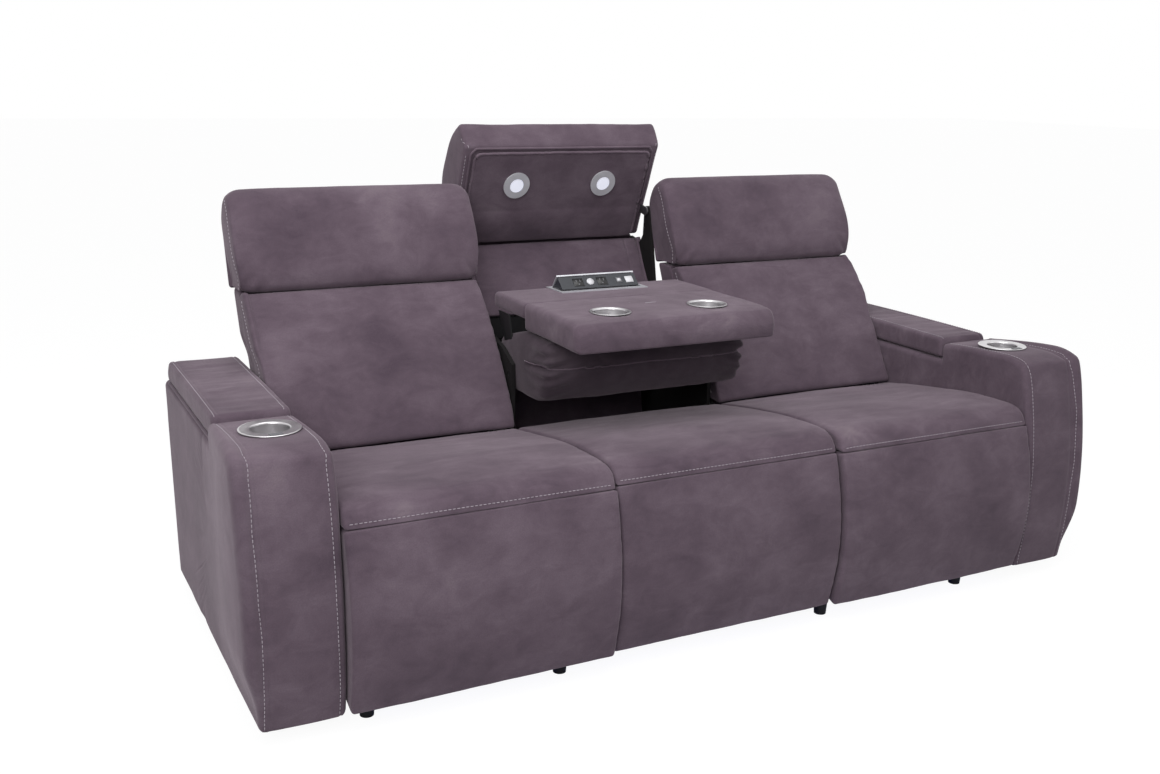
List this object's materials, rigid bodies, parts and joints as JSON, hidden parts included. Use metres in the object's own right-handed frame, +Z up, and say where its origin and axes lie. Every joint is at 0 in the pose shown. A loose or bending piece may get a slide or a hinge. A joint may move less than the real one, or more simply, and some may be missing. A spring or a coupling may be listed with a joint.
{
  "type": "reclining sofa with drop-down console",
  "caption": "Theatre-style sofa with reclining end seats, footrests, storage arms, a fold-down middle console and a flip-up headrest with reading lights.",
  "frame": {"origin": "on the floor, under the middle of the sofa's bounding box", "axes": "+X to the viewer's right when facing the sofa, along the seats; +Y from the front to the back; +Z up"},
  "size_m": [2.21, 1.1147, 1.164],
  "materials": {
    "suede": "brushed faux suede, mauve grey",
    "plywood": "raw plywood",
    "black_rail": "painted black",
    "black_plastic": "matt black",
    "mechanism_steel": "black powder coat",
    "cup_steel": "satin steel",
    "hinge_steel": "dull steel",
    "silver_trim": "satin silver",
    "touch_grey": "smooth grey",
    "lens": "frosted white",
    "led_white": "blue light strip"
  },
  "bodies": {
    "base": {"base_frame": "black_rail", "feet": "black_plastic", "led_strip": "led_white", "arm_frames": "plywood", "left_arm_cover": "suede", "right_arm_cover": "suede", "left_storage_bin": "black_plastic", "right_storage_bin": "black_plastic", "left_cup_holder": "cup_steel", "right_cup_holder": "cup_steel", "touch_pads": "touch_grey", "arm_lid_hinges": "hinge_steel", "left_seat_cushion": "suede", "middle_seat_cushion": "suede", "right_seat_cushion": "suede", "seat_decks": "plywood", "middle_front_panel": "suede", "mechanism_plates": "mechanism_steel", "drive_motors": "black_rail", "power_supply": "black_plastic", "power_inlet": "black_plastic", "middle_back_frame": "plywood", "middle_back_panel": "suede", "middle_rear_cover": "suede"},
    "left_back": {"left_back_frame": "mechanism_steel", "left_back_cushion": "suede", "left_back_cover": "suede"},
    "left_headrest": {"left_head_pillow": "suede", "left_headrest_bracket": "mechanism_steel"},
    "left_drive": {"left_drive_links": "mechanism_steel"},
    "left_carrier": {"left_carrier_links": "mechanism_steel"},
    "left_footrest": {"left_footrest_pad": "suede", "left_footrest_board": "plywood"},
    "left_lid": {"left_arm_lid": "suede", "left_lid_leaf": "hinge_steel"},
    "right_back": {"right_back_frame": "mechanism_steel", "right_back_cushion": "suede", "right_back_cover": "suede"},
    "right_headrest": {"right_head_pillow": "suede", "right_headrest_bracket": "mechanism_steel"},
    "right_drive": {"right_drive_links": "mechanism_steel"},
    "right_carrier": {"right_carrier_links": "mechanism_steel"},
    "right_footrest": {"right_footrest_pad": "suede", "right_footrest_board": "plywood"},
    "right_lid": {"right_arm_lid": "suede", "right_lid_leaf": "hinge_steel"},
    "console": {"console_slab": "suede", "console_pad": "suede", "console_brackets": "mechanism_steel", "console_left_cup": "cup_steel", "console_right_cup": "cup_steel", "console_pull": "silver_trim", "power_unit_housing": "silver_trim"},
    "power_lid": {"power_unit_lid": "silver_trim", "power_unit_sockets": "black_plastic"},
    "middle_headrest": {"middle_headrest_pillow": "suede", "middle_headrest_panel": "suede", "middle_headrest_brackets": "mechanism_steel", "reading_light_rings": "silver_trim", "reading_light_lenses": "lens"}
  },
  "joints": [
    {"name": "left_back_recline", "type": "hinge", "parent": "base", "child": "left_back", "pos_m": [-0.61933, 0.0832, 0.4], "axis": [-1, 0, 0], "range_deg": [0, 30]},
    {"name": "left_headrest_tilt", "type": "hinge", "parent": "left_back", "child": "left_headrest", "pos_m": [-0.61933, 0.2892, 0.786], "axis": [1, 0, 0], "range_deg": [0, 25]},
    {"name": "left_footrest_drive", "type": "hinge", "parent": "base", "child": "left_drive", "pos_m": [-0.61933, -0.3668, 0.26], "axis": [-1, 0, 0], "range_deg": [0, 110]},
    {"name": "left_footrest_elbow", "type": "hinge", "parent": "left_drive", "child": "left_carrier", "pos_m": [-0.61933, -0.2868, 0.12], "axis": [1, 0, 0], "range_deg": [0, 125]},
    {"name": "left_footrest_board_tilt", "type": "hinge", "parent": "left_carrier", "child": "left_footrest", "pos_m": [-0.61933, -0.4488, 0.3], "axis": [-1, 0, 0], "range_deg": [0, 105]},
    {"name": "left_lid_lift", "type": "hinge", "parent": "base", "child": "left_lid", "pos_m": [-1.1025, 0.1082, 0.546], "axis": [0, -1, 0], "range_deg": [0, 95]},
    {"name": "right_back_recline", "type": "hinge", "parent": "base", "child": "right_back", "pos_m": [0.61933, 0.0832, 0.4], "axis": [-1, 0, 0], "range_deg": [0, 30]},
    {"name": "right_headrest_tilt", "type": "hinge", "parent": "right_back", "child": "right_headrest", "pos_m": [0.61933, 0.2892, 0.786], "axis": [1, 0, 0], "range_deg": [0, 25]},
    {"name": "right_footrest_drive", "type": "hinge", "parent": "base", "child": "right_drive", "pos_m": [0.61933, -0.3668, 0.26], "axis": [-1, 0, 0], "range_deg": [0, 110]},
    {"name": "right_footrest_elbow", "type": "hinge", "parent": "right_drive", "child": "right_carrier", "pos_m": [0.61933, -0.2868, 0.12], "axis": [1, 0, 0], "range_deg": [0, 125]},
    {"name": "right_footrest_board_tilt", "type": "hinge", "parent": "right_carrier", "child": "right_footrest", "pos_m": [0.61933, -0.4488, 0.3], "axis": [-1, 0, 0], "range_deg": [0, 105]},
    {"name": "right_lid_lift", "type": "hinge", "parent": "base", "child": "right_lid", "pos_m": [1.1025, 0.1082, 0.546], "axis": [0, 1, 0], "range_deg": [0, 95]},
    {"name": "console_fold", "type": "hinge", "parent": "base", "child": "console", "pos_m": [0, 0.0832, 0.56], "axis": [-1, 0, 0], "range_deg": [0, 121]},
    {"name": "power_lid_flip", "type": "hinge", "parent": "console", "child": "power_lid", "pos_m": [0, 0.2182, 0.754], "axis": [1, 0, 0], "range_deg": [0, 54]},
    {"name": "middle_headrest_flip", "type": "hinge", "parent": "base", "child": "middle_headrest", "pos_m": [0, 0.4322, 0.924], "axis": [1, 0, 0], "range_deg": [0, 127]}
  ],
  "couplings": [
    {"joint": "left_footrest_elbow", "follows": "left_footrest_drive", "ratio": 1.1364},
    {"joint": "left_footrest_board_tilt", "follows": "left_footrest_drive", "ratio": 0.95454},
    {"joint": "right_footrest_elbow", "follows": "right_footrest_drive", "ratio": 1.1364},
    {"joint": "right_footrest_board_tilt", "follows": "right_footrest_drive", "ratio": 0.95454}
  ]
}
